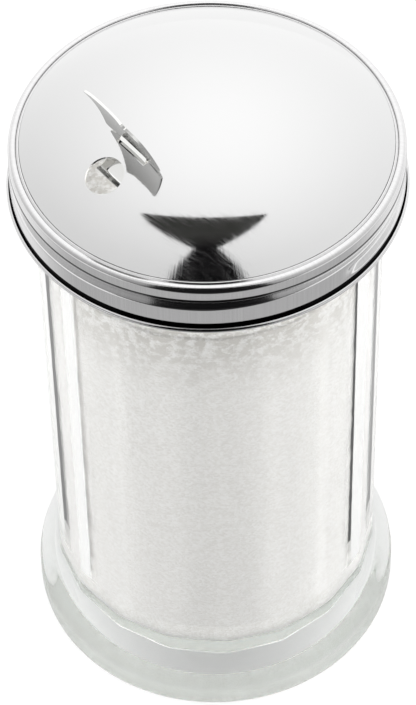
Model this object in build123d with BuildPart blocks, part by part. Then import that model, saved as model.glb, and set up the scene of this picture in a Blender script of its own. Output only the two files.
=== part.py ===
"""Sugar dispenser: a panelled glass jar with a domed steel screw lid and a pour flap.

Millimetres, +Z up. The origin is the centre of the jar's resting face. The row stands upright
with the flap open, over the pour hole, at azimuth FLAP_AZIMUTH.
"""
import os
from math import asin, cos, degrees, pi, radians, sin, sqrt, tan

from build123d import *

# ---------------------------------------------------------------- driving dimensions, glass jar
JAR_HEIGHT = 135.7            # resting face to sealing rim
PANEL_COUNT = 18              # flat panels round the body
PANEL_CORNER_RADIUS = 34.5    # radius over the corners between panels
PANEL_CORNER_AZIMUTH = -87.0  # one corner's direction
PANEL_EDGE_ROUND = 3.0        # pressed glass has soft corners between its panels
WALL = 2.7                    # glass behind the middle of a panel
BASE_THICKNESS = 14.0         # a thick clear base
CAVITY_FLOOR_ROUND = 5.0
FOOT_STEP = 4.2               # how far the round foot stands out past the panel corners
FOOT_WIDEST_Z = 6.0           # height of its widest part
FOOT_HEIGHT = 19.4            # top of its shoulder, inside the panels
SHOULDER_OVERLAP = 1.2        # how far inside the flats the shoulder ends
FOOT_EDGE_ROUND = 2.2         # rounding between the foot's side and its resting face
REST_WIDTH = 9.5              # ring that the jar rests on, round the hollow under the foot
PUNT_DEPTH = 2.2              # the hollow under the foot
PUNT_SLOPE = 5.0              # width of its sloping side
PUNT_ROUND = 2.0
NECK_STEP = 2.1               # how far the neck stands out past the panel corners
NECK_WALL = 4.4
NECK_HEIGHT = 11.2            # straight part of the neck, up to the rim
NECK_SWELL_HEIGHT = 5.5       # the swelling that widens the panels to the neck
NECK_SWELL_OVERLAP = 1.0      # how far inside the flats it starts
NECK_SWELL_ROUND = 4.0
PANEL_TOP_DROP = 2.5          # the panels end this far below the straight neck
MOUTH_ROUND = 2.0             # inside, where the cavity widens to the mouth
RIM_ROUND = 0.7

# ---------------------------------------------------------------- driving dimensions, sugar
SUGAR_HEADSPACE = 19.3        # from the rim down to the sugar
SUGAR_HEAP = 1.6              # the poured sugar stands a little higher in the middle
SUGAR_CLEARANCE = 0.1         # sugar to glass, all round

# ---------------------------------------------------------------- driving dimensions, screw ring
RING_SHEET = 0.45
THREAD_CLEARANCE = 0.375      # inside of the ring's groove to the neck
GROOVE_DROP = 4.0             # groove under the bead, below the top of the ring
BEAD_SWELL = 0.75             # bead over the groove, where its lines would meet
BEAD_ROUND = 1.2
BAND_SWELL = 0.9              # swollen band over the groove: it holds the thread
BAND_TOP_STEP = 1.8           # groove to the top of the band
BAND_HEIGHT = 3.8
CURL_NECK_SWELL = 0.56        # the sheet draws in again above its rolled edge
CURL_NECK_HEIGHT = 0.96
CURL_ROUND = 0.5              # centreline radius of the rolled edge
CURL_ANGLE = 280.0            # how far the edge is rolled round
RING_BENDS = (BEAD_ROUND, 0.5, 0.6, 0.5, 0.4)

# ---------------------------------------------------------------- driving dimensions, dome
DOME_SHEET = 0.5
DOME_RISE = 11.0              # height of the dome over its visible edge
FLANGE_WIDTH = 0.85           # flange outside that edge, caught between the ring's lip and the rim
FLANGE_CLEARANCE = 0.925      # flange to the inside of the bead's corner
FLANGE_CHAMFER = 0.25         # clears the rounding inside the bead
LIP_CLEARANCE = 0.05          # ring lip to the dome's flange, and to its visible edge

# ---------------------------------------------------------------- driving dimensions, flap
FLAP_AZIMUTH = -142.8         # direction in which the sugar is poured
HINGE_RADIUS = 17.3           # hinge line's distance from the jar's axis
FLAP_SHEET = 0.5
FLAP_OPEN_ANGLE = 90.0        # from closed on the dome to the pose shown
FLAP_CLEARANCE = 0.2          # closed leaf to the dome
LEAF_LENGTH = 16.6
LEAF_WIDTH = 15.0
LEAF_CORNER_ROUND = 1.2
SHOULDER_SETBACK = 0.3        # the leaf's lower edge lies this far outward of the hinge line
NECK_WIDTH = 7.8
NECK_LENGTH = 1.7             # from the hinge line to the inner leaf
NECK_BEND_ROUND = 0.8
INNER_LEAF_ANGLE = 140.4      # inner leaf below the dome's tangent, from closed
INNER_LEAF_LENGTH = 10.0
INNER_LEAF_WIDTH = 15.0
INNER_LIP_LENGTH = 1.4
INNER_LIP_ANGLE = 35.0
INNER_LIP_ROUND = 1.5
SLOT_PLAY = 1.0               # slot's width over the slanting neck: lets it rock from closed to open
SLOT_END_CLEARANCE = 0.3
POUR_HOLE_RADIUS = 3.9
POUR_HOLE_OFFSET = 7.2        # along the dome, from the hinge line to the hole's centre
SLOT_CUT = 4.0                # cutters reach this far past the thin sheet

# ---------------------------------------------------------------- worked out
panel_apothem = PANEL_CORNER_RADIUS * cos(pi / PANEL_COUNT)
cavity_radius = panel_apothem - WALL
foot_radius = PANEL_CORNER_RADIUS + FOOT_STEP
neck_radius = PANEL_CORNER_RADIUS + NECK_STEP
neck_start_z = JAR_HEIGHT - NECK_HEIGHT
panel_top_z = neck_start_z - PANEL_TOP_DROP
mouth_radius = neck_radius - NECK_WALL
sugar_level_z = JAR_HEIGHT - SUGAR_HEADSPACE
half_sheet = RING_SHEET / 2
groove_radius = neck_radius + THREAD_CLEARANCE + half_sheet
bead_corner_radius = groove_radius + BEAD_SWELL
band_radius = groove_radius + BAND_SWELL
curl_neck_radius = groove_radius + CURL_NECK_SWELL
flange_radius = bead_corner_radius - half_sheet - FLANGE_CLEARANCE
dome_edge_radius = flange_radius - FLANGE_WIDTH
flange_top_z = JAR_HEIGHT + DOME_SHEET
ring_top_z = flange_top_z + LIP_CLEARANCE + RING_SHEET
dome_radius = (dome_edge_radius**2 + DOME_RISE**2) / (2 * DOME_RISE)
dome_centre_z = ring_top_z + DOME_RISE - dome_radius
dome_middle = dome_radius - DOME_SHEET / 2
hinge_tilt = degrees(asin(HINGE_RADIUS / dome_middle))
hole_tilt = hinge_tilt + degrees(POUR_HOLE_OFFSET / dome_middle)
neck_slope = radians(INNER_LEAF_ANGLE)
slot_width = FLAP_SHEET / sin(neck_slope) + SLOT_PLAY


def dome_plane(tilt, radius):
    """Plane on a sphere about the dome's centre: local X runs outward down the slope, Z is the normal."""
    outward = Vector(cos(radians(FLAP_AZIMUTH)), sin(radians(FLAP_AZIMUTH)), 0)
    up = Vector(0, 0, 1)
    normal = outward * sin(radians(tilt)) + up * cos(radians(tilt))
    slope = outward * cos(radians(tilt)) - up * sin(radians(tilt))
    return Plane(origin=Vector(0, 0, dome_centre_z) + normal * radius, x_dir=slope, z_dir=normal)


os.makedirs("parts", exist_ok=True)

# ---------------------------------------------------------------- glass jar
with BuildPart() as glass_jar:
    # panelled body: a prism of flats with softened corners
    with BuildSketch(Plane.XY.offset(FOOT_WIDEST_Z)):
        flats = RegularPolygon(PANEL_CORNER_RADIUS, PANEL_COUNT, rotation=PANEL_CORNER_AZIMUTH)
        fillet(flats.vertices(), radius=PANEL_EDGE_ROUND)
    extrude(amount=panel_top_z - FOOT_WIDEST_Z)

    # round foot: its shoulder is one arc from the widest point in to the panels
    shoulder_radius = panel_apothem - SHOULDER_OVERLAP
    shoulder_in = foot_radius - shoulder_radius
    shoulder_up = FOOT_HEIGHT - FOOT_WIDEST_Z
    shoulder_round = (shoulder_in**2 + shoulder_up**2) / (2 * shoulder_in)
    rest_radius = foot_radius - FOOT_EDGE_ROUND
    with BuildSketch(Plane.XZ):
        with BuildLine():
            Polyline((0, PUNT_DEPTH), (0, FOOT_HEIGHT), (shoulder_radius, FOOT_HEIGHT))
            RadiusArc((shoulder_radius, FOOT_HEIGHT), (foot_radius, FOOT_WIDEST_Z), shoulder_round)
            Line((foot_radius, FOOT_WIDEST_Z), (foot_radius, FOOT_EDGE_ROUND))
            RadiusArc((foot_radius, FOOT_EDGE_ROUND), (rest_radius, 0), FOOT_EDGE_ROUND)
            FilletPolyline(
                (rest_radius, 0),
                (rest_radius - REST_WIDTH, 0),
                (rest_radius - REST_WIDTH - PUNT_SLOPE, PUNT_DEPTH),
                (0, PUNT_DEPTH),
                radius=(PUNT_ROUND, PUNT_ROUND),
            )
        make_face()
    revolve(axis=Axis.Z)

    # neck: it swells out of the panels and ends in the sealing face
    swell_start = (panel_apothem - NECK_SWELL_OVERLAP, neck_start_z - NECK_SWELL_HEIGHT)
    with BuildSketch(Plane.XZ):
        with BuildLine():
            FilletPolyline(
                swell_start,
                (neck_radius, neck_start_z),
                (neck_radius, JAR_HEIGHT),
                radius=NECK_SWELL_ROUND,
            )
            Polyline((neck_radius, JAR_HEIGHT), (0, JAR_HEIGHT), (0, swell_start[1]), swell_start)
        make_face()
    revolve(axis=Axis.Z)

    # cavity
    with BuildSketch(Plane.XZ):
        with BuildLine():
            FilletPolyline(
                (0, BASE_THICKNESS),
                (cavity_radius, BASE_THICKNESS),
                (cavity_radius, panel_top_z),
                (mouth_radius, neck_start_z),
                (mouth_radius, JAR_HEIGHT),
                radius=(CAVITY_FLOOR_ROUND, MOUTH_ROUND, MOUTH_ROUND),
            )
            Polyline((mouth_radius, JAR_HEIGHT), (0, JAR_HEIGHT), (0, BASE_THICKNESS))
        make_face()
    revolve(axis=Axis.Z, mode=Mode.SUBTRACT)
    rim_edges = glass_jar.edges().filter_by(GeomType.CIRCLE).group_by(Axis.Z)[-1]
    fillet(rim_edges, radius=RIM_ROUND)
glass_jar.part.label = "glass_jar"
export_step(glass_jar.part, "parts/glass_jar.step")

# ---------------------------------------------------------------- sugar
with BuildPart() as sugar:
    sugar_radius = cavity_radius - SUGAR_CLEARANCE
    sugar_floor_z = BASE_THICKNESS
    with BuildSketch(Plane.XZ):
        with BuildLine():
            FilletPolyline(
                (0, sugar_floor_z),
                (sugar_radius, sugar_floor_z),
                (sugar_radius, sugar_level_z),
                radius=CAVITY_FLOOR_ROUND,
            )
            Spline(
                (sugar_radius, sugar_level_z),
                (0, sugar_level_z + SUGAR_HEAP),
                tangents=((-1, 0.05), (-1, 0)),
            )
            Line((0, sugar_level_z + SUGAR_HEAP), (0, sugar_floor_z))
        make_face()
    revolve(axis=Axis.Z)
sugar.part.label = "sugar"
export_step(sugar.part, "parts/sugar.step")

# ---------------------------------------------------------------- dome
with BuildPart() as dome:
    inner_edge_radius = dome_edge_radius - DOME_SHEET
    inner_dome_radius = dome_radius - DOME_SHEET
    inner_edge_z = dome_centre_z + sqrt(inner_dome_radius**2 - inner_edge_radius**2)
    inner_top = (0, dome_centre_z + inner_dome_radius)
    outer_top = (0, dome_centre_z + dome_radius)
    with BuildSketch(Plane.XZ):
        with BuildLine():
            RadiusArc(outer_top, (dome_edge_radius, ring_top_z), dome_radius)
            Polyline(
                (dome_edge_radius, ring_top_z),
                (dome_edge_radius, flange_top_z),
                (flange_radius - FLANGE_CHAMFER, flange_top_z),
                (flange_radius, flange_top_z - FLANGE_CHAMFER),
                (flange_radius, JAR_HEIGHT),
                (inner_edge_radius, JAR_HEIGHT),
                (inner_edge_radius, inner_edge_z),
            )
            RadiusArc(inner_top, (inner_edge_radius, inner_edge_z), inner_dome_radius)
            Line(inner_top, outer_top)
        make_face()
    revolve(axis=Axis.Z)
    with BuildSketch(dome_plane(hole_tilt, dome_middle)):
        Circle(POUR_HOLE_RADIUS)
    extrude(amount=SLOT_CUT, both=True, mode=Mode.SUBTRACT)
    with BuildSketch(dome_plane(hinge_tilt, dome_middle)):
        Rectangle(slot_width, NECK_WIDTH + 2 * SLOT_END_CLEARANCE)
    extrude(amount=SLOT_CUT, both=True, mode=Mode.SUBTRACT)
dome.part.label = "dome"
export_step(dome.part, "parts/dome.step")

# ---------------------------------------------------------------- screw ring
with BuildPart() as screw_ring:
    groove_z = ring_top_z - GROOVE_DROP
    band_top_z = groove_z - BAND_TOP_STEP
    band_low_z = band_top_z - BAND_HEIGHT
    curl_neck_z = band_low_z - (band_radius - curl_neck_radius)
    curl_z = curl_neck_z - CURL_NECK_HEIGHT
    with BuildSketch(Plane.XZ):
        with BuildLine():
            FilletPolyline(
                (dome_edge_radius + LIP_CLEARANCE, ring_top_z - half_sheet),
                (bead_corner_radius, ring_top_z - half_sheet),
                (groove_radius, groove_z),
                (band_radius, band_top_z),
                (band_radius, band_low_z),
                (curl_neck_radius, curl_neck_z),
                (curl_neck_radius, curl_z),
                radius=RING_BENDS,
            )
            CenterArc((curl_neck_radius + CURL_ROUND, curl_z), CURL_ROUND, 180, CURL_ANGLE)
        trace(line_width=RING_SHEET)
    revolve(axis=Axis.Z)
screw_ring.part.label = "screw_ring"
export_step(screw_ring.part, "parts/screw_ring.step")

# ---------------------------------------------------------------- pour flap
# Drawn closed, in a frame whose origin is on the hinge line in the middle of the dome's sheet,
# and turned open with that frame.
leaf_inner_radius = dome_radius + FLAP_CLEARANCE
leaf_outer_radius = leaf_inner_radius + FLAP_SHEET
leaf_height = (leaf_inner_radius + leaf_outer_radius) / 2 - dome_middle
hinge_frame = dome_plane(hinge_tilt, dome_middle)
open_turn = radians(FLAP_OPEN_ANGLE)
flap_frame = Plane(
    origin=hinge_frame.origin,
    x_dir=hinge_frame.x_dir * cos(open_turn) + hinge_frame.z_dir * sin(open_turn),
    z_dir=hinge_frame.z_dir * cos(open_turn) - hinge_frame.x_dir * sin(open_turn),
)
side_plane = Plane(origin=flap_frame.origin, x_dir=flap_frame.x_dir, z_dir=-flap_frame.y_dir)
neck_dir = Vector(cos(neck_slope), -sin(neck_slope))
bend_x = leaf_height / tan(pi - neck_slope)
lip_slope = radians(INNER_LEAF_ANGLE - INNER_LIP_ANGLE)
inner_end = neck_dir * (INNER_LEAF_LENGTH - INNER_LIP_LENGTH)
lip_end = inner_end + Vector(cos(lip_slope), -sin(lip_slope)) * INNER_LIP_LENGTH

with BuildPart() as leaf_patch:
    # outer leaf: a patch of a shell that lies on the dome when closed
    with BuildSketch(flap_frame):
        with Locations((SHOULDER_SETBACK + LEAF_LENGTH / 2, 0)):
            RectangleRounded(LEAF_LENGTH, LEAF_WIDTH, LEAF_CORNER_ROUND)
    extrude(amount=SLOT_CUT, both=True)
    with Locations(flap_frame.offset(-dome_middle)):
        Sphere(leaf_outer_radius, mode=Mode.INTERSECT)
        Sphere(leaf_inner_radius, mode=Mode.SUBTRACT)

with BuildPart() as pour_flap:
    add(leaf_patch.part)
    # neck: from the leaf, through the slot, to the inner leaf
    with BuildSketch(side_plane):
        with BuildLine():
            FilletPolyline(
                (bend_x + NECK_BEND_ROUND, leaf_height),
                (bend_x, leaf_height),
                neck_dir * (NECK_LENGTH + FLAP_SHEET),
                radius=NECK_BEND_ROUND,
            )
        trace(line_width=FLAP_SHEET)
    extrude(amount=NECK_WIDTH / 2, both=True)
    # inner leaf, with its end bent into a lip
    with BuildSketch(side_plane):
        with BuildLine():
            FilletPolyline(neck_dir * NECK_LENGTH, inner_end, lip_end, radius=INNER_LIP_ROUND)
        trace(line_width=FLAP_SHEET)
    extrude(amount=INNER_LEAF_WIDTH / 2, both=True)
pour_flap.part.label = "pour_flap"
export_step(pour_flap.part, "parts/pour_flap.step")

print("dome radius", round(dome_radius, 2), "top", round(dome_centre_z + dome_radius, 2))
print("ring top", round(ring_top_z, 2), "hinge at", hinge_frame.origin, "axis", -hinge_frame.y_dir)
print("hole centre", dome_plane(hole_tilt, dome_middle).origin)
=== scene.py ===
# %% [markdown]
# # A sugar dispenser with a pour flap
# The object is a pressed glass jar full of sugar, under a lid of bare steel: a domed disc that a
# rolled ring screws down, and a small bent flap that rocks in a slot of the disc.
# The solids come ready made. This lesson gives them their finish, makes anew the three pieces whose
# surface follows a rule, which are the panelled jar, the ring with its pressed thread and the
# sugar, and eases a copy of the flap's mesh.

# %% Load the frame
import math

import bmesh
import bpy
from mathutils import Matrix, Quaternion, Vector


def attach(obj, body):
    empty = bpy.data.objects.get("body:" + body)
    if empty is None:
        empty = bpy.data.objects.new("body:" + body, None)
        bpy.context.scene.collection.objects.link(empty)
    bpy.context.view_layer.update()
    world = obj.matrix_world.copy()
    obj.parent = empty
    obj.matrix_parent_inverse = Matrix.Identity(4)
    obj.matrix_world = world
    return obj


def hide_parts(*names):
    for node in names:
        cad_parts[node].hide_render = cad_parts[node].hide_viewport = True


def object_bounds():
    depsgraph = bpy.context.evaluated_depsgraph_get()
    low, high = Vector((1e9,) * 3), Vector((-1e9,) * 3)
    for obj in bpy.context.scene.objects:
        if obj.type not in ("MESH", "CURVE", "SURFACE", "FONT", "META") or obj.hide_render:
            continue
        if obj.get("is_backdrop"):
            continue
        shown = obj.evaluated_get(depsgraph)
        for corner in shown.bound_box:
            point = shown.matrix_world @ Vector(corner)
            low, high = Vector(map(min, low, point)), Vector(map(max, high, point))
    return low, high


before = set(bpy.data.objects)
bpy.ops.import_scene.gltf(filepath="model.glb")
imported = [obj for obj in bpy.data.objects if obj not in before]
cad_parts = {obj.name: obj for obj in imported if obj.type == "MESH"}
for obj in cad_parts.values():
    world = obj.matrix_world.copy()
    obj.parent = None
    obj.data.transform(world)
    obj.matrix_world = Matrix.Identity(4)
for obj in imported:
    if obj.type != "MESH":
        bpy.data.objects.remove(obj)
bpy.context.view_layer.update()
MM = 0.001
print("solids:", sorted(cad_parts))

# %% [markdown]
# ## Three helpers
# Every tree of nodes below is made with one small function, so that a node, its settings and its
# links stand in one place. Colours are written as a painter or a web page writes them, and turned
# into the linear values in which light is added up.

# %% Helpers for nodes and colours


def add_node(tree, kind, inputs=None, **settings):
    """Adds a node. An input takes a plain value, an output socket, or a node for its first output."""
    made = tree.nodes.new(kind)
    for name, value in settings.items():
        setattr(made, name, value)
    for key, value in (inputs or {}).items():
        if isinstance(key, str):
            socket = next(s for s in made.inputs if s.name == key and s.enabled)
        else:
            socket = made.inputs[key]
        if isinstance(value, bpy.types.Node):
            value = next(s for s in value.outputs if s.enabled)
        if isinstance(value, bpy.types.NodeSocket):
            tree.links.new(value, socket)
        else:
            socket.default_value = value
    return made


def srgb(code):
    """A hex colour such as #C0C0BE as linear red, green, blue and alpha."""
    parts = [int(code[i:i + 2], 16) / 255 for i in (1, 3, 5)]
    return *[p / 12.92 if p <= 0.04045 else ((p + 0.055) / 1.055) ** 2.4 for p in parts], 1.0


def new_material(name):
    """A material, its empty node tree, and the tree's output node."""
    material = bpy.data.materials.new(name)
    material.use_nodes = True
    material.node_tree.nodes.clear()
    return material, material.node_tree, material.node_tree.nodes.new("ShaderNodeOutputMaterial")


MATH, SPAN, MIX = "ShaderNodeMath", "ShaderNodeMapRange", "ShaderNodeMix"

# %% [markdown]
# ## The camera
# The dispenser is seen from high in front with a long lens, so its sides hardly converge. A
# camera looks straight down until it is turned: first about its own axis for the slight lean of
# the picture, then up from the floor, then about the upright.

# %% Place the camera
camera = bpy.data.objects.new("camera", bpy.data.cameras.new("camera"))
bpy.context.scene.collection.objects.link(camera)
camera.location = (0.0, -0.4381, 0.6037)
camera.rotation_mode = "QUATERNION"
camera.rotation_quaternion = (
    Quaternion((0, 0, 1), math.radians(0.097))
    @ Quaternion((1, 0, 0), math.radians(39.52))
    @ Quaternion((0, 0, 1), math.radians(-1.322))
)
camera.data.lens = 171.0
camera.data.sensor_width = 36.0
camera.data.clip_start, camera.data.clip_end = 0.01, 20.0
bpy.context.scene.camera = camera
bpy.context.scene.view_settings.view_transform = "Standard"
print("camera at", [round(c, 4) for c in camera.location], "m, with a lens of", camera.data.lens, "mm")

# %% [markdown]
# ## The room
# Bare steel and clear glass have hardly a colour of their own: what they mirror is their look.
# The room is a white studio with one dark gap, where the photographer stands. The gap is wide
# overhead, narrows, and spreads again towards the front.
# It is drawn by direction. Across and ahead are where a ray would meet a flat ceiling, both as
# shares of the ceiling's height, and the gap is a shape on that ceiling.

# %% Start the room, and find where each ray would meet the ceiling
WHITE = "#FFFFFF"
LOWEST, GAP_TO_LEFT = 0.02, 0.02                # a ray lower than the first is taken to be that high
world = bpy.data.worlds.new("white_studio")
bpy.context.scene.world = world
world.use_nodes = True
room = world.node_tree
room.nodes.clear()
direction = add_node(room, "ShaderNodeTexCoord").outputs["Generated"]
way = add_node(room, "ShaderNodeSeparateXYZ", {0: direction})
height = add_node(room, MATH, {0: way.outputs["Z"], 1: LOWEST}, operation="MAXIMUM")
across = add_node(room, MATH, {0: way.outputs["X"], 1: height}, operation="DIVIDE")
across = add_node(room, MATH, {0: across, 1: GAP_TO_LEFT}, operation="ADD")
spread = add_node(room, MATH, {0: across}, operation="ABSOLUTE")
ahead = add_node(room, MATH, {0: way.outputs["Y"], 1: height}, operation="DIVIDE")
ahead = add_node(room, MATH, {0: ahead, 1: -1.0}, operation="MULTIPLY")
print("directions are drawn by", len(room.nodes), "nodes")

# %% Draw the dark gap: its half width, its far edge and its tone
GAP_HIGH, GAP_LOW = "#383836", "#0C0C0D"        # overhead, and towards the front
HALF_OVERHEAD, NARROWS, BOWS = 0.39, -0.4, -2.6 # half its width overhead, and how that shrinks
FAN_FROM, FAN_SLOPE = 0.2, 0.577                # then it spreads, to 30 degrees on either side
EDGE_MIDDLE, EDGE_ARC, EDGE_NEAR, EDGE_FULL = 0.045, 0.44, 0.078, 0.084
bow = add_node(room, MATH, {0: ahead, 1: ahead}, operation="MULTIPLY")
high_side = add_node(room, MATH, {0: ahead, 1: NARROWS, 2: HALF_OVERHEAD}, operation="MULTIPLY_ADD")
high_side = add_node(room, MATH, {0: bow, 1: BOWS, 2: high_side}, operation="MULTIPLY_ADD")
low_side = add_node(room, MATH, {0: ahead, 1: -FAN_FROM}, operation="ADD")
fan_side = add_node(room, MATH, {0: ahead, 1: FAN_SLOPE}, operation="MULTIPLY")
low_side = add_node(room, MATH, {0: low_side, 1: fan_side}, operation="MINIMUM")
half_gap = add_node(room, MATH, {0: high_side, 1: low_side}, operation="MAXIMUM")
inside = add_node(room, MATH, {0: half_gap, 1: spread}, operation="SUBTRACT")
inside = add_node(room, SPAN, {"Value": inside, "From Min": -0.01, "From Max": 0.015})
# its far edge is a shallow arc
edge = add_node(room, MATH, {0: across, 1: -EDGE_MIDDLE}, operation="ADD")
edge = add_node(room, MATH, {0: edge, 1: edge}, operation="MULTIPLY")
edge = add_node(room, MATH, {0: edge, 1: EDGE_ARC, 2: ahead}, operation="MULTIPLY_ADD")
past_edge = add_node(room, SPAN, {"Value": edge, "From Min": EDGE_NEAR, "From Max": EDGE_FULL})
gap = add_node(room, MATH, {0: inside, 1: past_edge}, operation="MULTIPLY")
low = add_node(room, SPAN, {"Value": ahead, "From Min": 0.18, "From Max": 0.28})
gap_colour = add_node(room, MIX, {"Factor": low, "A": srgb(GAP_HIGH), "B": srgb(GAP_LOW)}, data_type="RGBA")
print("with the gap:", len(room.nodes), "nodes")

# %% Hang the softbox behind and overhead, a little to the right: its light falls off from there
SOFTBOX, SOFTBOX_SPREAD = (0.085, 0.55, 0.0), (0.7, 0.66, 0.0)
BRIGHTEST, DIMMEST = 1.29, 0.3
offset = add_node(room, "ShaderNodeVectorMath", {0: direction, 1: SOFTBOX}, operation="SUBTRACT")
offset = add_node(room, "ShaderNodeVectorMath", {0: offset, 1: SOFTBOX_SPREAD}, operation="MULTIPLY")
fall = add_node(room, "ShaderNodeVectorMath", {0: offset, 1: offset}, operation="DOT_PRODUCT")
level = add_node(room, MATH, {0: fall.outputs["Value"], 1: -1.0, 2: BRIGHTEST}, operation="MULTIPLY_ADD")
level = add_node(room, MATH, {0: level, 1: DIMMEST}, operation="MAXIMUM")
walls = add_node(room, "ShaderNodeVectorMath", {0: (1.0, 1.0, 1.0), "Scale": level}, operation="SCALE")
mirrored = add_node(room, MIX, {"Factor": gap, "A": walls, "B": gap_colour}, data_type="RGBA")
print("with the softbox:", len(room.nodes), "nodes")

# %% [markdown]
# Glass in front of the sugar takes about a third of the light away, so the light that reaches the
# sugar is drawn apart from what the steel mirrors: bright at the sides, dimmer in front, where the
# gap is.

# %% Draw the light on the sugar
SIDE_FILL, FRONT_FILL, RIGHT_FILL = 4.2, 0.4, 0.3
FILL_TINT = (1.0, 0.985, 0.975)
front = add_node(room, MATH, {0: way.outputs["Y"], 1: -1.0}, operation="MULTIPLY")
side = add_node(room, MATH, {0: way.outputs["X"]}, operation="ABSOLUTE")
facing = add_node(room, MATH, {0: front, 1: side}, operation="SUBTRACT")
facing = add_node(room, SPAN, {"Value": facing, "From Min": -0.3, "From Max": 0.45},
                  interpolation_type="SMOOTHSTEP")
fill = add_node(room, SPAN, {"Value": facing, "To Min": SIDE_FILL, "To Max": FRONT_FILL})
fill = add_node(room, MATH, {0: way.outputs["X"], 1: RIGHT_FILL, 2: fill}, operation="MULTIPLY_ADD")
behind = add_node(room, SPAN, {"Value": way.outputs["Y"], "From Min": 0.1, "From Max": 0.45},
                  interpolation_type="SMOOTHSTEP")
fill = add_node(room, MIX, {"Factor": behind, "A": fill, "B": 1.0}, data_type="FLOAT")
soft_light = add_node(room, "ShaderNodeVectorMath", {0: FILL_TINT, "Scale": fill}, operation="SCALE")
print("with the light on the sugar:", len(room.nodes), "nodes")

# %% Give each kind of ray its room
light_path = add_node(room, "ShaderNodeLightPath")
# a ray through clear glass counts as glossy too, so the transmitted ones are taken off
glossy = add_node(room, MATH, {
    0: light_path.outputs["Is Glossy Ray"], 1: light_path.outputs["Is Transmission Ray"]},
    operation="SUBTRACT", use_clamp=True)
lit = add_node(room, MIX, {"Factor": glossy, "A": soft_light, "B": mirrored}, data_type="RGBA")
seen = add_node(room, MIX, {"Factor": light_path.outputs["Is Camera Ray"], "A": lit, "B": srgb(WHITE)},
                data_type="RGBA")
background = add_node(room, "ShaderNodeBackground", {"Color": seen})
add_node(room, "ShaderNodeOutputWorld", {"Surface": background})
print("the room is drawn by", len(room.nodes), "nodes")

# %% [markdown]
# ## The floor
# The picture's ground is plain white, yet the dispenser has to stand on something. The floor
# mixes a white that the camera, the steel and the glass see, with a plain matt white that takes
# the shadow. The more of the first, the fainter the shadow.

# %% Lay the floor
FLOOR_HALF = 1.5
FLOOR_Z = -0.05 * MM            # a hair of air under the glass, as under any real foot

floor_corners = [(x * FLOOR_HALF, y * FLOOR_HALF, FLOOR_Z) for x, y in ((-1, -1), (1, -1), (1, 1), (-1, 1))]
floor_mesh = bpy.data.meshes.new("floor")
floor_mesh.from_pydata(floor_corners, [], [(0, 1, 2, 3)])
floor = bpy.data.objects.new("floor", floor_mesh)
bpy.context.scene.collection.objects.link(floor)
print("floor:", 2 * FLOOR_HALF, "m square")

# %% Make the floor's paper
FLOOR_GLOW = 0.90
floor_paper, tree, output = new_material("white_backdrop_paper")
matt = add_node(tree, "ShaderNodeBsdfDiffuse", {"Color": srgb("#F4F4F2")})
rays = add_node(tree, "ShaderNodeLightPath")
place = add_node(tree, "ShaderNodeTexCoord").outputs["Object"]
spot = add_node(tree, "ShaderNodeSeparateXYZ", {0: place})
# what the steel mirrors: paper in the dispenser's own shade in front, and past its edge the dark gap
shade = add_node(tree, SPAN, {"Value": spot.outputs["Y"], "From Min": -0.05, "From Max": 0.07,
                              "To Min": 0.52, "To Max": 0.95}, interpolation_type="SMOOTHSTEP")
from_axis = add_node(tree, "ShaderNodeVectorMath", {0: place}, operation="LENGTH").outputs["Value"]
far_off = add_node(tree, SPAN, {"Value": from_axis, "From Min": 0.2, "From Max": 0.45, "To Max": 1.15})
shade = add_node(tree, MATH, {0: shade, 1: far_off}, operation="MAXIMUM")
aside = add_node(tree, MATH, {0: spot.outputs["X"]}, operation="ABSOLUTE")
edge = add_node(tree, MATH, {0: aside, 1: 0.7}, operation="MULTIPLY")
edge = add_node(tree, MATH, {0: edge, 1: spot.outputs["Y"]}, operation="ADD")
past = add_node(tree, SPAN, {
    "Value": edge, "From Min": -0.17, "From Max": -0.21, "To Min": 1.0, "To Max": 0.03})
shade = add_node(tree, MATH, {0: shade, 1: past}, operation="MULTIPLY")
glossy = add_node(tree, MATH, {0: rays.outputs["Is Glossy Ray"], 1: rays.outputs["Is Transmission Ray"]},
                  operation="SUBTRACT", use_clamp=True)
# what the glass shows: paper that the sugar shades in front, and its lit middle, which lights the
# sugar from below
under = add_node(tree, SPAN, {
    "Value": aside, "From Min": 4 * MM, "From Max": 34 * MM, "To Min": 0.55, "To Max": 1.0},
    interpolation_type="SMOOTHSTEP")
middle = add_node(tree, SPAN, {
    "Value": aside, "From Min": 4 * MM, "From Max": 16 * MM, "To Min": 0.8, "To Max": 2.9})
past_middle = add_node(tree, SPAN, {"Value": from_axis, "From Min": 15 * MM, "From Max": 18 * MM})
under = add_node(tree, MIX, {"Factor": past_middle, "A": middle, "B": under}, data_type="FLOAT")
under = add_node(tree, MIX, {"Factor": rays.outputs["Is Transmission Ray"], "A": 1.0, "B": under},
                 data_type="FLOAT")
glow_level = add_node(tree, MIX, {"Factor": glossy, "A": under, "B": shade}, data_type="FLOAT")
glow = add_node(tree, "ShaderNodeEmission", {"Color": srgb(WHITE), "Strength": glow_level})
seen = add_node(tree, MATH, {0: rays.outputs["Is Camera Ray"], 1: rays.outputs["Is Transmission Ray"]},
                operation="MAXIMUM")
seen = add_node(tree, MATH, {0: seen, 1: FLOOR_GLOW}, operation="MULTIPLY")
seen = add_node(tree, MATH, {0: seen, 1: glossy}, operation="MAXIMUM")
surface = add_node(tree, "ShaderNodeMixShader", {0: seen, 1: matt, 2: glow})
tree.links.new(surface.outputs[0], output.inputs["Surface"])
floor_mesh.materials.append(floor_paper)
floor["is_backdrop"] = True
print("the paper is drawn by", len(tree.nodes), "nodes")

# %% [markdown]
# ## A lathe
# The jar, the ring and the sugar are all turned shapes with something added by a rule. Each
# starts as a half section: corner points with a radius for each bend. The lathe rounds the
# bends, spaces points along the straights and turns the line round the upright axis. Marks on
# the points say where the rule applies: 1 where it holds fully, 0 where it doesn't.

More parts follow.
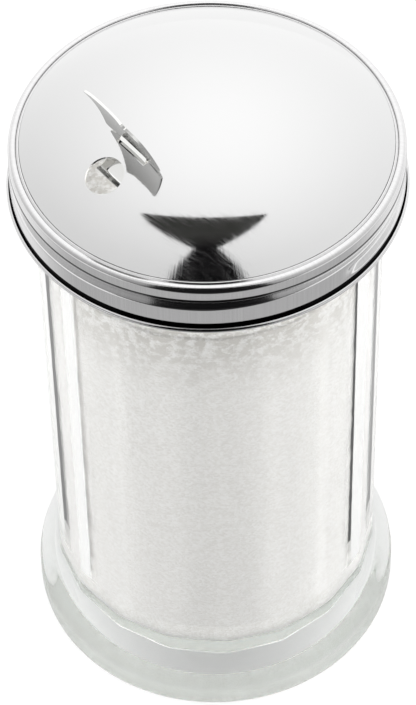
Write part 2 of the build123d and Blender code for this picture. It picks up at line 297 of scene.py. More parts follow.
# %% Helpers for turned shapes
ON_AXIS = 1e-6                  # a smaller radius is a point on the axis


def clamped(share):
    """The share, kept between 0 and 1."""
    return min(1.0, max(0.0, share))


def half_section(corners, bend_steps=6, spacing=1.0):
    """Points along a section. A corner is (radius, height, bend, mark); a bend of 0 is sharp."""
    points = []
    for i, (x, z, bend, mark) in enumerate(corners):
        if bend and 0 < i < len(corners) - 1:
            (px, pz, *_), (nx, nz, *_) = corners[i - 1], corners[i + 1]
            back, on = math.atan2(pz - z, px - x), math.atan2(nz - z, nx - x)
            turn = math.remainder(on - back, 2 * math.pi)
            cut = bend / math.tan(abs(turn) / 2)
            middle = back + turn / 2
            reach = bend / math.sin(abs(turn) / 2)
            cx, cz = x + reach * math.cos(middle), z + reach * math.sin(middle)
            start = math.atan2(z + cut * math.sin(back) - cz, x + cut * math.cos(back) - cx)
            sweep = -math.copysign(math.pi - abs(turn), turn)
            for k in range(bend_steps + 1):
                a = start + sweep * k / bend_steps
                points.append((cx + bend * math.cos(a), cz + bend * math.sin(a), mark))
        else:
            points.append((x, z, mark))
    spaced = [points[0]]
    for (x0, z0, m0), (x1, z1, m1) in zip(points, points[1:]):
        parts = max(1, math.ceil(math.hypot(x1 - x0, z1 - z0) / spacing))
        spaced += [(x0 + (x1 - x0) * k / parts, z0 + (z1 - z0) * k / parts, m0 + (m1 - m0) * k / parts)
                   for k in range(1, parts + 1)]
    return spaced


def turned(name, section, azimuths, mark_name, closed=False):
    """A mesh: the section, in millimetres, turned through the azimuths, with its marks kept."""
    count, vertices, faces, marks, starts = len(azimuths), [], [], [], []
    for x, z, mark in section:
        starts.append(len(vertices))
        on_axis = x < ON_AXIS
        vertices += [(0, 0, z * MM)] if on_axis else [
            (x * MM * math.cos(a), x * MM * math.sin(a), z * MM) for a in azimuths]
        marks += [mark] * (1 if on_axis else count)
    pairs = list(zip(starts, starts[1:])) + ([(starts[-1], starts[0])] if closed else [])
    is_ring = {start: section[i][0] >= ON_AXIS for i, start in enumerate(starts)}
    for low_row, high_row in pairs:
        for k in range(count):
            n = (k + 1) % count
            corners = [row + (step if is_ring[row] else 0)
                       for row, step in ((low_row, k), (low_row, n), (high_row, n), (high_row, k))]
            faces.append(tuple(dict.fromkeys(corners)))
    mesh = bpy.data.meshes.new(name)
    mesh.from_pydata(vertices, [], faces)
    mesh.attributes.new(mark_name, "FLOAT", "POINT").data.foreach_set("value", marks)
    mesh.polygons.foreach_set("use_smooth", [True] * len(mesh.polygons))
    return mesh


def grown(name, base, tree, sizes, body):
    """Runs a node tree on a base mesh, and keeps what comes out as a plain piece that rides on a body."""
    piece = bpy.data.objects.new(name, base)
    bpy.context.scene.collection.objects.link(piece)
    modifier = piece.modifiers.new("shape", "NODES")
    modifier.node_group = tree
    for socket in tree.interface.items_tree:
        if socket.item_type == "SOCKET" and socket.in_out == "INPUT" and socket.name in sizes:
            modifier[socket.identifier] = sizes[socket.name]
    bpy.context.view_layer.update()
    ready = piece.evaluated_get(bpy.context.evaluated_depsgraph_get())
    mesh = bpy.data.meshes.new_from_object(ready)
    piece.modifiers.remove(modifier)
    piece.data = mesh
    mesh.name = name
    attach(piece, body)
    print(name, "has", sum(len(p.vertices) - 2 for p in mesh.polygons), "triangles")
    return piece


def new_shape_tree(name, sizes):
    """A geometry tree with a mesh going in and out, and one number input for each size."""
    tree = bpy.data.node_groups.new(name, "GeometryNodeTree")
    tree.interface.new_socket("Geometry", in_out="INPUT", socket_type="NodeSocketGeometry")
    for size in sizes:
        tree.interface.new_socket(size, in_out="INPUT", socket_type="NodeSocketFloat")
    tree.interface.new_socket("Geometry", in_out="OUTPUT", socket_type="NodeSocketGeometry")
    return tree, add_node(tree, "NodeGroupInput").outputs


# %% [markdown]
# ## The rules: flats and a thread
# A regular prism's flat lies at a fixed distance from the axis, so its radius is that distance
# over the cosine of the angle from the flat's middle. The corner between two flats is the lesser
# of their two radii, and a smooth minimum rounds it as pressed glass is. Where the jar swells
# past the flats, a smooth maximum lets the swelling through.
# A thread is a helix: the height above its start, less the pitch for each turn so far, is the
# distance to the thread. The nearest turn is found by rounding.

# %% Helpers for the rules


def cylinder_coordinates(tree):
    """The azimuth, radius and height of each point."""
    place = add_node(tree, "ShaderNodeSeparateXYZ", {0: add_node(tree, "GeometryNodeInputPosition")})
    x, y, z = place.outputs
    azimuth = add_node(tree, MATH, {0: y, 1: x}, operation="ARCTAN2").outputs[0]
    squares = add_node(tree, MATH, {0: x, 1: x}, operation="MULTIPLY")
    squares = add_node(tree, MATH, {0: y, 1: y, 2: squares}, operation="MULTIPLY_ADD")
    radius = add_node(tree, MATH, {0: squares}, operation="SQRT").outputs[0]
    return azimuth, radius, z


def mark_values(tree, name):
    """The marks that the lathe kept under this name."""
    marks = add_node(tree, "GeometryNodeInputNamedAttribute", {"Name": name}, data_type="FLOAT")
    return marks.outputs["Attribute"]


def put_at_radius(tree, geometry, azimuth, radius, z):
    """Moves each point to the new radius, at its own azimuth and height."""
    x = add_node(tree, MATH, {0: azimuth}, operation="COSINE")
    y = add_node(tree, MATH, {0: azimuth}, operation="SINE")
    x = add_node(tree, MATH, {0: x, 1: radius}, operation="MULTIPLY")
    y = add_node(tree, MATH, {0: y, 1: radius}, operation="MULTIPLY")
    place = add_node(tree, "ShaderNodeCombineXYZ", {0: x, 1: y, 2: z})
    return add_node(tree, "GeometryNodeSetPosition", {"Geometry": geometry, "Position": place})


def finish_tree(tree, geometry, material):
    """Ends the tree with plain geometry in one material."""
    plain = add_node(tree, "GeometryNodeRealizeInstances", {"Geometry": geometry})
    done = add_node(tree, "GeometryNodeSetMaterial", {"Geometry": plain, "Material": material})
    add_node(tree, "NodeGroupOutput", {0: done})


def thread_height(tree, azimuth, z, sizes):
    """From 0 beside a helical thread to 1 on its crest, fading in and out at its two ends."""
    turn = add_node(tree, MATH, {0: azimuth, 1: sizes["Thread start azimuth"]}, operation="SUBTRACT")
    turn = add_node(tree, MATH, {0: turn, 1: 2 * math.pi}, operation="DIVIDE")
    turn = add_node(tree, MATH, {0: turn}, operation="FRACT")
    above = add_node(tree, MATH, {0: z, 1: sizes["Thread start height"]}, operation="SUBTRACT")
    level = add_node(tree, MATH, {0: above, 1: sizes["Pitch"]}, operation="DIVIDE")
    whole = add_node(tree, MATH, {0: level, 1: turn}, operation="SUBTRACT")
    whole = add_node(tree, MATH, {0: whole}, operation="ROUND")
    along = add_node(tree, MATH, {0: whole, 1: turn}, operation="ADD")
    off = add_node(tree, MATH, {0: level, 1: along}, operation="SUBTRACT")
    off = add_node(tree, MATH, {0: off, 1: sizes["Pitch"]}, operation="MULTIPLY")
    off = add_node(tree, MATH, {0: off}, operation="ABSOLUTE")
    crest = add_node(tree, SPAN, {"Value": off, "From Min": sizes["Thread half width"], "From Max": 0.0},
                     interpolation_type="SMOOTHSTEP")
    lead_in = add_node(tree, SPAN, {"Value": along, "From Min": 0.0, "From Max": sizes["Lead in"]},
                       interpolation_type="SMOOTHSTEP")
    left = add_node(tree, MATH, {0: sizes["Turns"], 1: along}, operation="SUBTRACT")
    lead_out = add_node(tree, SPAN, {"Value": left, "From Min": 0.0, "From Max": sizes["Lead out"]},
                        interpolation_type="SMOOTHSTEP")
    faded = add_node(tree, MATH, {0: lead_in, 1: lead_out}, operation="MULTIPLY")
    return add_node(tree, MATH, {0: crest, 1: faded}, operation="MULTIPLY")


THREAD_SIZES = ("Pitch", "Thread start azimuth", "Thread start height", "Thread half width", "Lead in",
                "Lead out", "Turns", "Thread depth")

# %% [markdown]
# ## The glass
# The jar is pressed soda-lime glass. It is clear, a little green where the light goes a long way
# through it, as in the thick base and along the edges of the walls, and quite smooth, with faint
# waves from the mould. Soda-lime glass bends light by an index of 1.52. The green comes from
# absorption inside the glass, so thick places are greener by themselves.

# %% Make the glass
pressed_glass, tree, output = new_material("pressed_soda_lime_glass")
place = add_node(tree, "ShaderNodeTexCoord").outputs["Object"]
# slow waves of 9 mm, a few hundredths of a millimetre deep: the mould's polish is not perfect
waves = add_node(tree, "ShaderNodeTexNoise", {"Vector": place, "Scale": 1 / (9 * MM), "Detail": 1.0})
waves = add_node(tree, "ShaderNodeBump", {"Height": waves, "Strength": 0.25, "Distance": 0.15 * MM})
clear = add_node(tree, "ShaderNodeBsdfPrincipled", {
    "Base Color": srgb(WHITE), "Roughness": 0.0, "IOR": 1.52, "Transmission Weight": 1.0,
    "Normal": waves})
tint = add_node(tree, "ShaderNodeVolumeAbsorption", {"Color": srgb("#C8E6D2"), "Density": 3.5})
tree.links.new(clear.outputs[0], output.inputs["Surface"])
tree.links.new(tint.outputs[0], output.inputs["Volume"])
print("made", pressed_glass.name)

# %% [markdown]
# ## The jar
# The body has 18 flats between a round foot and a round neck. The mould left a thread on the
# neck, which the ring screws onto. The inside is a plain turned cavity.

# %% Draw the jar's section
JAR_HEIGHT, FLATS, CORNER_RADIUS, FIRST_CORNER = 135.7, 18, 34.5, -87.0
FOOT_RADIUS, CAVITY_RADIUS, MOUTH_RADIUS, NECK_RADIUS = 38.7, 31.276, 32.2, 36.6
HOLLOW, NECK_START, BASE = 2.2, 124.5, 14.0     # heights: under the foot, of the neck, inside
RIM_BEND = 0.7

# marks: 1 on the body's outside, where the flats can hold, and 0 elsewhere
jar_section = half_section([
    # the hollow under the foot, and the ring that it rests on
    (0, HOLLOW, 0, 0.0), (22.0, HOLLOW, 2.0, 0.0), (27.0, 0, 2.0, 0.0), (FOOT_RADIUS, 0, 2.2, 0.0),
    # the foot's side and shoulder, then inside the flats up to the swelling under the neck
    (FOOT_RADIUS, 6.8, 5.0, 1.0), (33.0, 18.4, 0, 1.0), (32.0, 19.6, 0, 1.0), (32.0, 119.0, 0, 1.0),
    (33.0, 119.2, 0, 1.0), (NECK_RADIUS, NECK_START, 4.0, 1.0),
    # the neck and its rim
    (NECK_RADIUS, JAR_HEIGHT, RIM_BEND, 0.0), (MOUTH_RADIUS, JAR_HEIGHT, RIM_BEND, 0.0),
    # the mouth and the cavity
    (MOUTH_RADIUS, NECK_START, 2.0, 0.0), (CAVITY_RADIUS, 122.0, 2.0, 0.0),
    (CAVITY_RADIUS, BASE, 5.0, 0.0), (0, BASE, 0, 0.0)], spacing=1.2)

# each flat gets close points near its corners, where the surface turns
share = [0, 0.012, 0.026, 0.045, 0.075, 0.13, 0.25, 0.37, 0.5, 0.63, 0.75, 0.87, 0.925, 0.955, 0.974, 0.988]
flat_azimuths = [math.radians(FIRST_CORNER + (k + s) * 360 / FLATS) for k in range(FLATS) for s in share]
jar_base = turned("jar_section", jar_section, flat_azimuths, "flats")
print("jar section:", len(jar_section), "points, turned through", len(flat_azimuths), "azimuths")

# %% Give the section its flats
tree, size = new_shape_tree("jar_flats_and_thread", (
    "Flats", "Corner radius", "First corner", "Corner softness", "Swell softness", *THREAD_SIZES))
azimuth, radius, z = cylinder_coordinates(tree)
step = add_node(tree, MATH, {0: 2 * math.pi, 1: size["Flats"]}, operation="DIVIDE")
half = add_node(tree, MATH, {0: step, 1: 0.5}, operation="MULTIPLY")
local = add_node(tree, MATH, {0: azimuth, 1: size["First corner"]}, operation="SUBTRACT")
local = add_node(tree, MATH, {0: local, 1: step, 2: 0.0}, operation="WRAP")
local = add_node(tree, MATH, {0: local, 1: half}, operation="SUBTRACT")
local = add_node(tree, MATH, {0: local}, operation="ABSOLUTE")
apothem = add_node(tree, MATH, {0: half}, operation="COSINE")
apothem = add_node(tree, MATH, {0: apothem, 1: size["Corner radius"]}, operation="MULTIPLY")
near_flat = add_node(tree, MATH, {0: apothem, 1: add_node(tree, MATH, {0: local}, operation="COSINE")},
                     operation="DIVIDE")
beyond = add_node(tree, MATH, {0: step, 1: local}, operation="SUBTRACT")
next_flat = add_node(tree, MATH, {0: apothem, 1: add_node(tree, MATH, {0: beyond}, operation="COSINE")},
                     operation="DIVIDE")
flat = add_node(tree, MATH, {0: near_flat, 1: next_flat, 2: size["Corner softness"]}, operation="SMOOTH_MIN")
flat = add_node(tree, MATH, {0: radius, 1: flat, 2: size["Swell softness"]}, operation="SMOOTH_MAX")
marks = mark_values(tree, "flats")
flattened = add_node(tree, MIX, {"Factor": marks, "A": radius, "B": flat}, data_type="FLOAT")
print("the flats take", len(tree.nodes), "nodes")

# %% Give the neck its thread, on the outside alone, and grow the jar
PITCH = 4.233
NECK_SIDE, OVER_SWELL = 36.0, 125.2
thread = thread_height(tree, azimuth, z, size)
outside = add_node(tree, MATH, {0: radius, 1: NECK_SIDE * MM}, operation="GREATER_THAN")
on_neck = add_node(tree, MATH, {0: z, 1: OVER_SWELL * MM}, operation="GREATER_THAN")
thread = add_node(tree, MATH, {0: thread, 1: outside}, operation="MULTIPLY")
thread = add_node(tree, MATH, {0: thread, 1: on_neck}, operation="MULTIPLY")
final = add_node(tree, MATH, {0: thread, 1: size["Thread depth"], 2: flattened}, operation="MULTIPLY_ADD")
moved = put_at_radius(tree, size["Geometry"], azimuth, final, z)
finish_tree(tree, moved, pressed_glass)

jar = grown("jar_glass", jar_base, tree, {
    "Flats": float(FLATS), "Corner radius": CORNER_RADIUS * MM, "First corner": math.radians(FIRST_CORNER),
    "Corner softness": 0.9 * MM, "Swell softness": 0.6 * MM, "Pitch": PITCH * MM,
    "Thread start azimuth": math.radians(-44.6), "Thread start height": 127.4 * MM,
    "Thread half width": 1.0 * MM, "Lead in": 0.03, "Lead out": 0.04, "Turns": 1.5,
    "Thread depth": 0.9 * MM,
}, "jar")
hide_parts("glass_jar")

# %% [markdown]
# ## The sugar
# White table sugar: clear crystals of nearly half a millimetre, so many that they look white and
# sparkle here and there. Their colour is an off-white that differs from crystal to crystal.

# %% Make the sugar's finish
CRYSTAL, CLUMP = 0.4, 2
white_sugar, tree, output = new_material("white_granulated_sugar")
place = add_node(tree, "ShaderNodeTexCoord").outputs["Object"]
crystals = add_node(tree, "ShaderNodeTexVoronoi", {"Vector": place, "Scale": 1 / (CRYSTAL * MM)})
shade = add_node(tree, "ShaderNodeSeparateColor", {0: crystals.outputs["Color"]})
colour = add_node(tree, MIX, {"Factor": shade.outputs[0], "A": srgb("#EEEDEA"), "B": srgb("#FFFFFE")},
                  data_type="RGBA")
# towards the top, where the jar was shaken, it sticks to the glass in ragged clumps
clumps = add_node(tree, "ShaderNodeTexNoise", {
    "Vector": place, "Scale": 1 / (CLUMP * MM), "Detail": 4.0, "Roughness": 0.7})
clumps = add_node(tree, SPAN, {"Value": clumps, "From Min": 0.56, "From Max": 0.46})
height = add_node(tree, "ShaderNodeSeparateXYZ", {0: place}).outputs["Z"]
near_top = add_node(tree, SPAN, {"Value": height, "From Min": 98 * MM, "From Max": 114 * MM})
between = add_node(tree, MATH, {0: clumps, 1: near_top}, operation="MULTIPLY")
colour = add_node(tree, MIX, {"Factor": between, "A": colour, "B": srgb("#DAD8D3")}, data_type="RGBA")
bump = add_node(tree, "ShaderNodeBump", {"Height": crystals.outputs["Distance"], "Strength": 0.1,
                                         "Distance": -0.2 * MM})
grains = add_node(tree, "ShaderNodeBsdfPrincipled", {
    "Base Color": colour, "Roughness": 0.45, "IOR": 1.54, "Normal": bump})
tree.links.new(grains.outputs[0], output.inputs["Surface"])
print("made", white_sugar.name, "with crystals of", CRYSTAL, "mm")

# %% [markdown]
# Up to 20 mm the sugar reaches a hair into the glass, so that no film of air lies between them: a
# film would mirror like silver and turn the thick base black.

# %% Draw the sugar and give it its uneven surface
SUGAR_FLOOR, SUGAR_LOW, SUGAR_HIGH, LUMP = BASE - 0.05, 31.33, 31.15, 3
sugar_section = half_section([
    (0, SUGAR_FLOOR, 0, 0.0), (SUGAR_LOW, SUGAR_FLOOR, 5.0, 0.0), (SUGAR_LOW, 20.0, 0, 0.0),
    (SUGAR_HIGH, 26.0, 0, 0.15), (SUGAR_HIGH, 116.0, 0, 0.2), (29.0, 116.3, 0, 1.0),
    (14.0, 117.6, 0, 1.0), (0, 117.9, 0, 1.0)], spacing=0.9)
STEPS = 288
fine_azimuths = [math.radians(360 / STEPS * k) for k in range(STEPS)]
sugar_base = turned("sugar_section", sugar_section, fine_azimuths, "loose")
tree, size = new_shape_tree("poured_sugar", ("Unevenness",))
noise = add_node(tree, "ShaderNodeTexNoise", {"Scale": 1 / (LUMP * MM), "Detail": 3.0})
dip = add_node(tree, MATH, {0: noise, 1: size["Unevenness"]}, operation="MULTIPLY")
dip = add_node(tree, MATH, {0: dip, 1: mark_values(tree, "loose")}, operation="MULTIPLY")
inwards = add_node(tree, MATH, {0: dip, 1: -1.0}, operation="MULTIPLY")
normal = add_node(tree, "GeometryNodeInputNormal")
offset = add_node(tree, "ShaderNodeVectorMath", {0: normal, "Scale": inwards}, operation="SCALE")
moved = add_node(tree, "GeometryNodeSetPosition", {"Geometry": size["Geometry"], "Offset": offset})
finish_tree(tree, moved, white_sugar)
sugar = grown("sugar_fill", sugar_base, tree, {"Unevenness": 1.2 * MM}, "jar")
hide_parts("sugar")

# %% [markdown]
# ## The steel
# All of the lid is bare stainless steel, rolled bright and then formed. In the middle of the dome
# the sheet keeps its fine straight grain. Towards the rim it was drawn over the press tool, which
# left it rougher, with streaks that run outwards.

# %% Make the dome's steel
STEEL = "#E0E0E0"
GRAIN_SIZE = (0.15 * MM, 3 * MM, 3 * MM)        # across and along the rolling
dome_steel, tree, output = new_material("bright_rolled_stainless_steel")
place = add_node(tree, "ShaderNodeTexCoord").outputs["Object"]
x, y, _ = add_node(tree, "ShaderNodeSeparateXYZ", {0: place}).outputs
flat_place = add_node(tree, "ShaderNodeCombineXYZ", {0: x, 1: y})
from_axis = add_node(tree, "ShaderNodeVectorMath", {0: flat_place}, operation="LENGTH").outputs["Value"]
near_rim = add_node(tree, SPAN, {"Value": from_axis, "From Min": 28 * MM, "From Max": 35 * MM})
# the grain runs straight over the sheet
grain = add_node(tree, "ShaderNodeMapping", {
    "Vector": place, "Rotation": (0, 0, math.radians(55)), "Scale": GRAIN_SIZE}, vector_type="TEXTURE")
grain = add_node(tree, "ShaderNodeTexNoise", {"Vector": grain, "Scale": 1.0, "Detail": 2.0})
# streaks of 0.3 mm that run outwards: noise over the direction alone
outward = add_node(tree, "ShaderNodeVectorMath", {0: flat_place}, operation="NORMALIZE")
streaks = add_node(tree, "ShaderNodeTexNoise", {"Vector": outward, "Scale": 110.0, "Detail": 3.0})
streak_height = add_node(tree, MATH, {0: streaks, 1: near_rim}, operation="MULTIPLY")
bump = add_node(tree, "ShaderNodeBump", {"Height": grain, "Strength": 1.0, "Distance": 0.0004 * MM})
bump = add_node(tree, "ShaderNodeBump", {
    "Height": streak_height, "Strength": 1.0, "Distance": 0.006 * MM, "Normal": bump})
sheen = add_node(tree, SPAN, {
    "Value": grain, "From Min": 0.4, "From Max": 0.6, "To Min": 0.02, "To Max": 0.09})
sheen = add_node(tree, MATH, {0: near_rim, 1: 0.03, 2: sheen}, operation="MULTIPLY_ADD")
metal = add_node(tree, "ShaderNodeBsdfPrincipled", {
    "Base Color": srgb(STEEL), "Metallic": 1.0, "Roughness": sheen, "Normal": bump})
tree.links.new(metal.outputs[0], output.inputs["Surface"])
print("made", dome_steel.name)

# %% [markdown]
# The ring was turned while it was rolled to shape, and its thread pressed, so faint lines cross
# it upright. Little light comes back from the crease under its bead, from the gap over its rolled
# edge and from under that edge, and their colour is drawn near black there: painted shade.

# %% Make the ring's steel
ring_steel, tree, output = new_material("rolled_ring_stainless_steel")
place = add_node(tree, "ShaderNodeTexCoord").outputs["Object"]
x, y, _ = add_node(tree, "ShaderNodeSeparateXYZ", {0: place}).outputs
outward = add_node(tree, "ShaderNodeVectorMath", {
    0: add_node(tree, "ShaderNodeCombineXYZ", {0: x, 1: y})}, operation="NORMALIZE")
# upright lines of 0.3 mm
streaks = add_node(tree, "ShaderNodeTexNoise", {"Vector": outward, "Scale": 130.0, "Detail": 3.0})
bump = add_node(tree, "ShaderNodeBump", {"Height": streaks, "Strength": 1.0, "Distance": 0.006 * MM})
painted_shade = add_node(tree, "ShaderNodeAttribute", attribute_name="painted_shade").outputs["Fac"]
shade = add_node(tree, MIX, {"Factor": streaks, "A": srgb("#D6D5D6"), "B": srgb("#EAEAEA")}, data_type="RGBA")
# painted shade: near black in the crease, over the rolled edge and under it
shade = add_node(tree, MIX, {"Factor": painted_shade, "A": shade, "B": srgb("#0B0B0B")}, data_type="RGBA")
metal = add_node(tree, "ShaderNodeBsdfPrincipled", {
    "Base Color": shade, "Metallic": 1.0, "Roughness": 0.13, "Normal": bump})
tree.links.new(metal.outputs[0], output.inputs["Surface"])
print("made", ring_steel.name)

# %% [markdown]
# The flap is cut and bent from the same bright sheet, without the dome's streaks. The leaf's face
# towards the hole is left rougher, and its colour is painted darker: painted shade. Dome and flap
# are the only solids that show, or lend their mesh, so their materials go onto them.

# %% Make the flap's steel and give both solids theirs
TO_HOLE = (-0.766, -0.582, -0.272)
flap_steel, tree, output = new_material("folded_stainless_steel")
place = add_node(tree, "ShaderNodeTexCoord").outputs["Object"]
grain = add_node(tree, "ShaderNodeMapping", {
    "Vector": place, "Rotation": (0, 0, math.radians(37.2)), "Scale": GRAIN_SIZE}, vector_type="TEXTURE")
grain = add_node(tree, "ShaderNodeTexNoise", {"Vector": grain, "Scale": 1.0, "Detail": 2.0})
bump = add_node(tree, "ShaderNodeBump", {"Height": grain, "Strength": 1.0, "Distance": 0.0006 * MM})
# the leaf's face towards the hole, by the direction it looks in while the flap is up: painted shade
to_hole = add_node(tree, "ShaderNodeVectorMath", {
    0: add_node(tree, "ShaderNodeTexCoord").outputs["Normal"], 1: TO_HOLE},
    operation="DOT_PRODUCT").outputs["Value"]
rough_and_shaded_face = add_node(tree, SPAN, {"Value": to_hole, "From Min": 0.75, "From Max": 0.9})
# painted shade: that face's colour is drawn darker
shade = add_node(tree, MIX, {"Factor": rough_and_shaded_face, "A": srgb("#F0F0EE"), "B": srgb("#A8A8A6")}, data_type="RGBA")
sheen = add_node(tree, SPAN, {"Value": rough_and_shaded_face, "To Min": 0.08, "To Max": 0.2})
metal = add_node(tree, "ShaderNodeBsdfPrincipled", {
    "Base Color": shade, "Metallic": 1.0, "Roughness": sheen, "Normal": bump})
tree.links.new(metal.outputs[0], output.inputs["Surface"])
for node, material in (("dome", dome_steel), ("pour_flap", flap_steel)):
    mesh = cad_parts[node].data
    mesh.materials.clear()
    mesh.materials.append(material)
    print(node, "is of", material.name)

# %% [markdown]
# ## The flap
# The flap is one bent strip: a leaf over the slot, a neck in it, and under the dome a tongue no
# wider than the neck, so that it can be put in through the slot. The solid's leaf has straight
# sides, and its inner part is wider, longer and steeper than the tongue that shows in the hole.
# Drawing the flap anew isn't needed: a copy of its mesh is eased. The leaf gets wider at its foot
# and narrower at its tip, and what lies past the bend is narrowed, shortened and turned up.

# %% The flap's own directions and sizes
HINGE = Vector((-13.78, -10.46, 145.067)) * MM
ALONG_HINGE, DOWN_SLOPE = Vector((-0.6046, 0.7965, 0.0)), Vector((-0.7668, -0.5821, -0.2704))
DOME_NORMAL = Vector((-0.2154, -0.1635, 0.9627))
NECK_SLOPE, TONGUE_SLOPE = math.radians(50.4), math.radians(19.0)
BEND_AT, NECK_HALF, LEAF_HALF, LEAF_TOP = 1.65 * MM, 3.9 * MM, 7.5 * MM, 16.9 * MM
TONGUE_SHARE = 0.71                         # of the solid's inner leaf, past the bend
WIDER, NARROWER = 0.75 * MM, 2.2 * MM       # at the leaf's foot, and less by this much at its tip

neck_way = DOWN_SLOPE * math.cos(NECK_SLOPE) - DOME_NORMAL * math.sin(NECK_SLOPE)
bend_line = HINGE + neck_way * BEND_AT
lift = Quaternion(ALONG_HINGE, NECK_SLOPE - TONGUE_SLOPE)
print("the tongue is turned up by", round(math.degrees(lift.angle), 1), "degrees")

# %% [markdown]
# The solid's triangles are loose, so points that lie on each other are welded first. Where the
# inner leaf's shoulders fold onto the neck, triangles without area are left, and are dissolved. The
# old normals no longer fit, so sharp edges are found again by their angle.

# %% Ease the flap
WELD, FOLDED, BEFORE_BEND, SHARP = 0.0001 * MM, 0.001 * MM, 0.05 * MM, math.radians(30)
flap_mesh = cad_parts["pour_flap"].data.copy()
flap_mesh.name = "pour_flap_sheet"
shell = bmesh.new()
shell.from_mesh(flap_mesh)
bmesh.ops.remove_doubles(shell, verts=shell.verts, dist=WELD)
for vertex in shell.verts:
    place = vertex.co - HINGE
    side = place.dot(ALONG_HINGE)
    out = max(0.0, abs(side) - NECK_HALF)
    outward = ALONG_HINGE if side > 0 else -ALONG_HINGE
    past_bend = place.dot(neck_way) - BEND_AT
    if past_bend > -BEFORE_BEND and place.dot(DOME_NORMAL) < 0:
        place = vertex.co - outward * out - neck_way * past_bend * (1 - TONGUE_SHARE)
        vertex.co = bend_line + lift @ (place - bend_line)
    else:
        up = clamped(place.dot(DOME_NORMAL) / LEAF_TOP)
        share = clamped(out / (LEAF_HALF - NECK_HALF))
        vertex.co += outward * (WIDER - NARROWER * up) * share
bmesh.ops.dissolve_degenerate(shell, edges=shell.edges, dist=FOLDED)
open_edges = sum(not edge.is_manifold for edge in shell.edges)
shell.to_mesh(flap_mesh)
shell.free()
if flap_mesh.has_custom_normals:
    flap_mesh.attributes.remove(flap_mesh.attributes["custom_normal"])
flap_mesh.polygons.foreach_set("use_smooth", [True] * len(flap_mesh.polygons))
flap_mesh.set_sharp_from_angle(angle=SHARP)
flap = bpy.data.objects.new("pour_flap_sheet", flap_mesh)
bpy.context.scene.collection.objects.link(flap)
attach(flap, "flap")
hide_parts("pour_flap")
print("pour_flap_sheet has", len(flap_mesh.polygons), "faces and", open_edges, "open edges")

# %% [markdown]
# ## The screw ring
# The ring is one strip of sheet: a bead over the dome's edge, a wall with the thread pressed
# into it, and a rolled lower edge. The thread shows outside as a groove that climbs round the
# ring, so the same helix rule that raised the glass thread presses this one in.

# %% Draw the ring's section
SHEET = 0.4
CREASE_Z, WALL_TOP, WALL_FOOT = 133.55, 133.2, 127.5
CURL_R, CURL_Z, CURL_ROUND = 38.46, 125.77, 0.32
CURL_START, CURL_TURN, CURL_STEPS = 180, 265, 20    # degrees, and points round the rolled edge
curl = [(CURL_R + CURL_ROUND * math.cos(a), CURL_Z + CURL_ROUND * math.sin(a), 0, 0.0)
        for a in (math.radians(CURL_START + CURL_TURN * k / CURL_STEPS) for k in range(CURL_STEPS + 1))]
line = half_section([
    # the lip, and the bead over the dome's edge
    (36.0, 136.52, 0, 0.0), (36.7, 136.05, 0.15, 0.0), (36.85, 136.45, 0.12, 0.0),
    (37.45, 136.5, 0.6, 0.0), (37.95, 135.9, 0.6, 0.0), (37.95, 133.95, 0.25, 0.0),
    # the crease under it, the wall, and the way in to the rolled edge
    (37.78, CREASE_Z, 0.25, 0.0), (38.1, 133.15, 0.3, 0.0), (38.1, 127.45, 0.9, 0.0),
    (37.85, 126.7, 0.3, 0.0), (CURL_R - CURL_ROUND, CURL_Z + 0.25, 0, 0.0), *curl],
    spacing=0.2)
# marks: 1 on the wall, fading out at its top and foot, where the thread runs out
FADE_TOP, FADE_FOOT = 0.5, 0.8
line = [(x, z, clamped((WALL_TOP - z) / FADE_TOP) * clamped((z - WALL_FOOT) / FADE_FOOT)) for x, z, _ in line]

# the strip's two faces lie half a sheet to either side of the line
normals = []
for i in range(len(line)):
    (x0, z0, _), (x1, z1, _) = line[max(i - 1, 0)], line[min(i + 1, len(line) - 1)]
    run = math.hypot(x1 - x0, z1 - z0)
    normals.append((-(z1 - z0) / run, (x1 - x0) / run))
ring_section = [(x + n[0] * SHEET / 2, z + n[1] * SHEET / 2, m) for (x, z, m), n in zip(line, normals)]
ring_section += [(x - n[0] * SHEET / 2, z - n[1] * SHEET / 2, m)
                 for (x, z, m), n in zip(line[::-1], normals[::-1])]
ring_base = turned("ring_section", ring_section, fine_azimuths, "wall", closed=True)
print("ring section:", len(ring_section), "points")
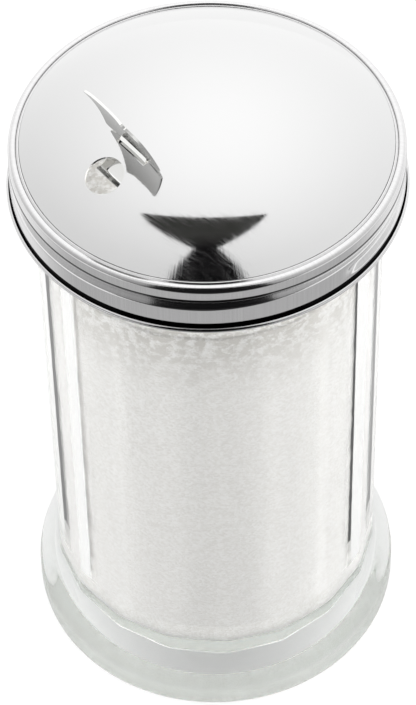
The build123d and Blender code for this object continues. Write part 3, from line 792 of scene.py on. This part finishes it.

# %% Mark where the ring gets painted shade
# painted shade: how far each point lies in the crease under the bead, in the gap over the rolled
# edge, or under that edge, where the colour is drawn near black
painted_shade = []
for vertex in ring_base.vertices:
    r, z = math.hypot(vertex.co.x, vertex.co.y) / MM, vertex.co.z / MM
    under_wall = clamped((WALL_FOOT - z) / 0.4)
    over_curl = clamped((CURL_R + 0.12 - r) / 0.25) if z < CURL_Z + 0.6 else 1.0
    under_curl = clamped((CURL_Z - 0.15 - z) / 0.15)
    in_crease = clamped(1.0 - abs(z - CREASE_Z) / 0.25)
    painted_shade.append(max(under_wall * over_curl, under_curl, in_crease))
ring_base.attributes.new("painted_shade", "FLOAT", "POINT").data.foreach_set("value", painted_shade)
print("points in the dark:", sum(dark > 0 for dark in painted_shade))

# %% Press the thread and grow the ring
tree, size = new_shape_tree("ring_thread", THREAD_SIZES)
azimuth, radius, z = cylinder_coordinates(tree)
pressed = thread_height(tree, azimuth, z, size)
pressed = add_node(tree, MATH, {0: pressed, 1: mark_values(tree, "wall")}, operation="MULTIPLY")
depth = add_node(tree, MATH, {0: size["Thread depth"], 1: -1.0}, operation="MULTIPLY")
final = add_node(tree, MATH, {0: pressed, 1: depth, 2: radius}, operation="MULTIPLY_ADD")
moved = put_at_radius(tree, size["Geometry"], azimuth, final, z)
finish_tree(tree, moved, ring_steel)
ring = grown("screw_ring_sheet", ring_base, tree, {
    "Pitch": PITCH * MM, "Thread start azimuth": math.radians(-49.0), "Thread start height": 129.3 * MM,
    "Thread half width": 1.95 * MM, "Lead in": 0.02, "Lead out": 0.2, "Turns": 1.3,
    "Thread depth": 0.95 * MM,
}, "ring")
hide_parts("screw_ring")

# %% [markdown]
# ## Light inside the lid
# Real sugar lets some light through, and so the inside of the lid is bright: through the pour hole
# the sugar looks white. This sugar is opaque, so a tiny lamp under the dome stands in for that light.

# %% Light the sugar under the dome
LAMP_PLACE, LAMP_RADIUS, LAMP_WATTS = (6 * MM, 4 * MM, 139 * MM), 2 * MM, 0.038
lamp = bpy.data.lights.new("light_through_the_sugar", "POINT")
lamp.energy, lamp.shadow_soft_size = LAMP_WATTS, LAMP_RADIUS
inner_light = bpy.data.objects.new("light_through_the_sugar", lamp)
bpy.context.scene.collection.objects.link(inner_light)
inner_light.location = LAMP_PLACE
inner_light.visible_camera = inner_light.visible_glossy = False
print("lamp under the dome:", LAMP_WATTS, "W")

# %% Print the visual box and finish
bpy.context.view_layer.update()
low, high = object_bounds()
print("visual box in mm:", [round((b - a) / MM, 1) for a, b in zip(low, high)])
